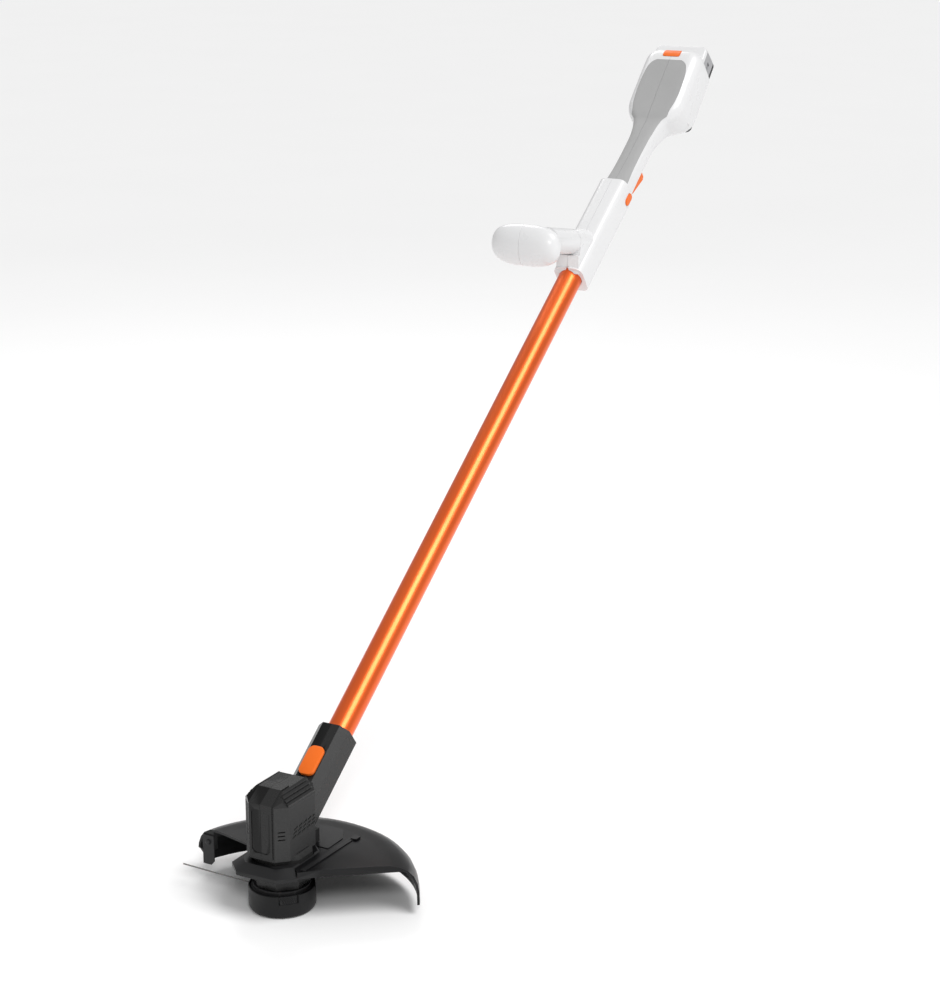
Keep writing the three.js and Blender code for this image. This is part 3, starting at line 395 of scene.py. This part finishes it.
def copy_of(item, name):
    twin = bpy.data.objects.new(name, item.data.copy())
    bpy.context.scene.collection.objects.link(twin)
    return twin


def finish_piece(item, name, look, body, nodes, edge=0.35, sharp=30):
    """Names, finishes and mounts a built piece, in place of the nodes it stands for."""
    item.name = name
    item.data.name = name
    dress(item, look)
    round_edges(item, edge, math.radians(sharp), BUILT_WELD_REACH, BUILT_FLAT_ANGLE)
    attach(item, body)
    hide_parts(*nodes)


# ---------------------------------------------------------------- handle shells
# At each station: place, half width, top, bottom, upper corner radius, lower corner radius.
BODY_RINGS = [(848, 20, 18.5, -21.5, 10, 8), (1008, 19.5, 18.5, -21.5, 10, 8)]
NECK_RINGS = [
    (1012, 17, 11.5, -20, 10, 9), (1040, 16.2, 9.5, -19.5, 10, 9), (1085, 16.2, 9, -19.5, 10, 9),
    (1106, 17, 9.5, -21, 10, 9),
]
HOOD_RINGS = [
    (-24, 23, 41, 3, 11, 10), (-14, 31, 41.2, -6, 13, 12), (-4, 37, 41.2, -12, 15, 8),
    (8, 40.5, 41, -13, 17, 3), (45, 41, 40.5, -13, 18, 3), (78, 41, 39, -13, 18, 3),
    (86, 40.2, 38.3, -13, 18, 3), (91, 38, 36.8, -13, 17, 3), (95, 34, 33.5, -13, 14, 3),
    (97.5, 28.5, 29, -13, 9, 3),
]
TUBE_RADIUS, TUBE_END = 15.0, 930.0
TRIGGER_S, TRIGGER_HALF, TRIGGER_END = 1020.0, 6.0, 1069.0
LOCK_S, LOCK_N = 998.0, -7.5
LATCH_D, LATCH_HALF_LENGTH, LATCH_HALF_WIDTH = 87.5, 6.0, 12.0
BATTERY_HALF, BATTERY_THICK, BATTERY_ROOM = 36.8, 39.0, 0.6
RAIL_INNER, RAIL_OUTER, RAIL_END, RAIL_HALF_HEIGHT = 1.7, 3.0, 84, 3
ARM_RADIUS, ARM_X, ARM_Z, ARM_RISE = 16.0, 674.0, 626.5, math.radians(10)
PAD_PLAN = [
    (1013, 24), (1108, 24), (1140, 26), (1158, 29.5), (1177, 31), (1197, 30.5), (1212, 28.5),
    (1221, 24.5), (1226, 18),
]
SCREWS = [(882, 24, 9), (940, 0, 13), (1130, 1, 14)]  # along the shaft, height, head seat
SCREW_HEAD, SCREW_SHANK, SCREW_TIP = 3.4, 1.7, -8.5
PAD_DEPTH, PAD_SKIN, PAD_PROUD = 1.6, 1.3, 0.2


def shell_ring(ring, inset, place):
    at, half, top, bottom, upper, lower = ring
    steps = 7
    points = []
    corners = ((1, 1, upper), (-1, 1, upper), (-1, -1, lower), (1, -1, lower))
    for quarter, (side_y, side_z, corner) in enumerate(corners):
        radius = max(0.6, corner - inset)
        reach = top - inset if side_z > 0 else -(bottom + inset)
        centre_y = side_y * (half - inset - radius)
        centre_z = side_z * (reach - radius)
        for k in range(steps + 1):
            angle = (quarter + k / steps) * math.pi / 2
            y = centre_y + radius * math.cos(angle)
            z = centre_z + radius * math.sin(angle)
            points.append(place @ Vector((at, y, z)))
    return points


def curve_through(rings, spans=6):
    """Rings in between, on a smooth curve through each point of the given rings."""
    spots = [sum(ring, Vector()) / len(ring) for ring in rings]
    reach = [0.0]
    for first, second in zip(spots, spots[1:]):
        reach.append(reach[-1] + (second - first).length)

    def slope(row, k):
        low, high = max(row - 1, 0), min(row + 1, len(rings) - 1)
        return (rings[high][k] - rings[low][k]) / (reach[high] - reach[low])

    made = []
    for row in range(len(rings) - 1):
        span = reach[row + 1] - reach[row]
        for step in range(spans):
            t = step / spans
            ring = []
            for k, (start, end) in enumerate(zip(rings[row], rings[row + 1])):
                h1 = 2 * t ** 3 - 3 * t ** 2 + 1
                h2 = t ** 3 - 2 * t ** 2 + t
                h3 = -2 * t ** 3 + 3 * t ** 2
                h4 = t ** 3 - t ** 2
                leave, arrive = span * slope(row, k), span * slope(row + 1, k)
                ring.append(h1 * start + h2 * leave + h3 * end + h4 * arrive)
            made.append(ring)
    made.append(rings[-1])
    return made


def handle_body(inset=0.0):
    straight = [shell_ring(ring, inset, SHAFT) for ring in BODY_RINGS]
    bent = [shell_ring(ring, inset, SHAFT) for ring in NECK_RINGS]
    bent += [shell_ring(ring, inset, DOCK) for ring in HOOD_RINGS]
    return skin("handle_body", straight + curve_through(bent))


def smooth_plan(plan, spans=5):
    rings = [[Vector((s, y, 0))] for s, y in plan]
    return [(ring[0].x, ring[0].y) for ring in curve_through(rings, spans)]


def pad_region(margin):
    """The upright column over the neck and dock inside which the soft grip lies."""
    side = smooth_plan(PAD_PLAN)
    upper = [(s + margin if k == 0 else s, y - margin) for k, (s, y) in enumerate(side)]
    upper[-1] = (upper[-1][0] - margin, upper[-1][1])
    lower = [(s, -y) for s, y in reversed(upper)]
    column = slab(lower + upper, -10, 60, "Z", SHAFT)
    floor = [
        (1000, 5.5 + margin), (1105, 5 + margin), (1125, 6.5 + margin), (1145, 10 + margin),
        (1165, 15 + margin), (1260, 20 + margin), (1260, 90), (1000, 90),
    ]
    return combine(column, slab(floor, -60, 60, "Y", SHAFT), "INTERSECT")


def latch_slot(margin, low, high):
    plan = rounded(LATCH_HALF_LENGTH + margin, LATCH_HALF_WIDTH + margin, 2.2 + margin, LATCH_D, 0)
    return slab(plan, low, high, "Z", DOCK)


def arm_root():
    """The stub of the auxiliary handle's arm, with the gusset below it."""
    turn = Matrix.Translation((ARM_X, 0, ARM_Z)) @ Matrix.Rotation(ARM_RISE, 4, "Y")
    stub = slab(circle(ARM_RADIUS), 0, 62, "X", turn)
    web = [
        (668, 587), (668, 610), (672, 610), (ARM_X + GAP, 621), (ARM_X + GAP, ARM_Z),
        (705, ARM_Z - 6), (712, 587),
    ]
    width = ARM_RADIUS - 0.5
    return combine(stub, slab(web, -width, width, "Y"), "UNION")


def handle_shells():
    whole = handle_body()
    combine(whole, arm_root(), "UNION")
    roof = BATTERY_THICK / 2 + BATTERY_ROOM
    mouth = [(88, roof), (82, -15), (82, -60), (200, -60), (200, roof)]
    pad_pocket = combine(pad_region(0), handle_body(PAD_DEPTH), "DIFFERENCE")
    cutters = [
        slab(circle(TUBE_RADIUS + GAP), 830, TUBE_END + GAP, "X", SHAFT),
        box((-1, -BATTERY_HALF - BATTERY_ROOM, -60), (200, BATTERY_HALF + BATTERY_ROOM, roof), DOCK),
        slab(mouth, -60, 60, "Y", DOCK),
        box((TRIGGER_S - 5, -TRIGGER_HALF - 0.6, -60), (TRIGGER_END + 4, TRIGGER_HALF + 0.6, -4), SHAFT),
        slab(rounded(9.3, 5.3, 5.1, LOCK_S, LOCK_N), -60, -6.2, "Y", SHAFT),
        latch_slot(GAP, 22, 60),
        box((-8, -14.3, -6.3), (0, 14.3, 6.3), DOCK),
        box((840, -2, 14), (851, 2, 22), SHAFT),
        pad_pocket,
    ]
    for s, n, head in SCREWS:
        cutters.append(slab(circle(SCREW_HEAD, s, n, 24), head, 60, "Y", SHAFT))
        cutters.append(slab(circle(SCREW_SHANK, s, n, 16), SCREW_TIP, head + 1, "Y", SHAFT))
    for cutter in cutters:
        combine(whole, cutter, "DIFFERENCE")
    for side in (-1, 1):
        low, high = sorted((side * (BATTERY_HALF - RAIL_INNER), side * (BATTERY_HALF + RAIL_OUTER)))
        rail = box((1, low, -RAIL_HALF_HEIGHT), (RAIL_END, high, RAIL_HALF_HEIGHT), DOCK)
        combine(whole, rail, "UNION")
    left = combine(copy_of(whole, "left"), box((-FAR, GAP / 2, -FAR), (FAR, FAR, FAR)), "INTERSECT")
    right = combine(whole, box((-FAR, -FAR, -FAR), (FAR, -GAP / 2, FAR)), "INTERSECT")
    finish_piece(left, "shell_left", "white", "handle", ["handle_shell_left"], 0.4)
    finish_piece(right, "shell_right", "white", "handle", ["handle_shell_right"], 0.4)


def grip_pads():
    pad = combine(pad_region(GAP), handle_body(-PAD_PROUD), "INTERSECT")
    combine(pad, handle_body(PAD_SKIN), "DIFFERENCE")
    combine(pad, latch_slot(GAP, 20, 60), "DIFFERENCE")
    left = combine(copy_of(pad, "left"), box((-FAR, GAP / 2, -FAR), (FAR, FAR, FAR)), "INTERSECT")
    right = combine(pad, box((-FAR, -FAR, -FAR), (FAR, -GAP / 2, FAR)), "INTERSECT")
    finish_piece(left, "pad_left", "grip", "handle", ["grip_pad_left"], 0.35)
    finish_piece(right, "pad_right", "grip", "handle", ["grip_pad_right"], 0.35)


handle_shells()
grip_pads()


# ---------------------------------------------------------------- auxiliary handle
BAR_X, BAR_Z = 610, 629
BAR_NEAR, BAR_FAR, BAR_CAP = -18, 74, 30
BAR_HALF_X, BAR_HALF_Z = 17, 26
ARM_SEAM = 0.7


def auxiliary_handle():
    rings = []
    rows, sides, square = 40, 56, 2.9
    middle, half = (BAR_NEAR + BAR_FAR) / 2, (BAR_FAR - BAR_NEAR) / 2
    for row in range(rows + 1):
        u = -math.cos(row / rows * math.pi)
        scale = max(0.03, (1 - abs(u) ** square) ** (1 / square))
        ring = []
        for k in range(sides):
            turn = k / sides * 2 * math.pi
            ring.append((
                BAR_X + BAR_HALF_X * scale * math.sin(turn), middle + half * u,
                BAR_Z + BAR_HALF_Z * scale * math.cos(turn),
            ))
        rings.append(ring)
    bar = skin("bar", rings)
    turn = Matrix.Translation((ARM_X, 0, ARM_Z)) @ Matrix.Rotation(ARM_RISE, 4, "Y")
    arm = slab(circle(ARM_RADIUS), -(ARM_X - BAR_X), -ARM_SEAM, "X", turn)
    combine(bar, arm, "UNION")
    cap = combine(copy_of(bar, "cap"), box((0, BAR_CAP + GAP, 0), (FAR, FAR, FAR)), "INTERSECT")
    combine(bar, box((0, BAR_CAP, 0), (FAR, FAR, FAR)), "DIFFERENCE")
    finish_piece(bar, "side_handle", "white", "handle", ["auxiliary_handle"], 0.5, 35)
    cap_name, cap_nodes = "side_handle_cap", ["auxiliary_end_cap"]
    finish_piece(cap, cap_name, "white", "handle", cap_nodes, 0.3, 35)


auxiliary_handle()


# ---------------------------------------------------------------- stage, light and camera
LENS, SENSOR_WIDTH = 89.36, 36.0
CAMERA_PLACE = Vector((-1.9219, -1.3076, 1.1230))
CAMERA_RIGHT, CAMERA_UP = Vector((0.4879, -0.8729, 0.0)), Vector((0.2424, 0.1355, 0.9607))
LIGHT_TARGET = (0.4, 0, 0.4)
FLOOR_REACH, FLOOR_LEVEL = 45.0, -0.0004


def camera():
    data = bpy.data.cameras.new("camera")
    data.sensor_fit = "HORIZONTAL"
    data.sensor_width = SENSOR_WIDTH
    data.lens = LENS
    item = bpy.data.objects.new("camera", data)
    bpy.context.scene.collection.objects.link(item)
    back = CAMERA_RIGHT.cross(CAMERA_UP)
    turn = Matrix((CAMERA_RIGHT, CAMERA_UP, back)).transposed().to_4x4()
    item.matrix_world = Matrix.Translation(CAMERA_PLACE) @ turn
    bpy.context.scene.camera = item


def area_light(name, place, target, size, power):
    data = bpy.data.lights.new(name, "AREA")
    data.shape = "DISK"
    data.size = size
    data.energy = power
    item = bpy.data.objects.new(name, data)
    bpy.context.scene.collection.objects.link(item)
    item.location = place
    item.rotation_euler = (Vector(target) - Vector(place)).to_track_quat("-Z", "Y").to_euler()


def studio():
    world = bpy.data.worlds.new("studio")
    world.use_nodes = True
    world.node_tree.nodes["Background"].inputs["Color"].default_value = (1, 1, 1, 1)
    world.node_tree.nodes["Background"].inputs["Strength"].default_value = 0.42
    bpy.context.scene.world = world
    sun = bpy.data.lights.new("sun", "SUN")
    sun.energy = 2.0
    sun.angle = math.radians(32)
    overhead = bpy.data.objects.new("sun", sun)
    overhead.rotation_euler = Vector((0.3, 2.2, -3.2)).to_track_quat("-Z", "Y").to_euler()
    bpy.context.scene.collection.objects.link(overhead)
    area_light("key", (-1.6, -1.2, 1.6), (0.3, 0, 0.4), 0.6, 14)
    area_light("rim", (1.8, 1.2, 2.2), LIGHT_TARGET, 1.2, 14)

    mesh = bpy.data.meshes.new("floor")
    signs = ((-1, -1), (1, -1), (1, 1), (-1, 1))
    corners = [(x * FLOOR_REACH, y * FLOOR_REACH, FLOOR_LEVEL) for x, y in signs]
    mesh.from_pydata(corners, [], [(0, 1, 2, 3)])
    floor = bpy.data.objects.new("floor", mesh)
    bpy.context.scene.collection.objects.link(floor)
    paint = Paint("floor", 0.85)
    paint.color(paint.mix(paint.noise(2.0), gray(0.95), gray(0.97)))
    mesh.materials.append(paint.material)


camera()
studio()
bpy.context.scene.view_settings.view_transform = "Standard"
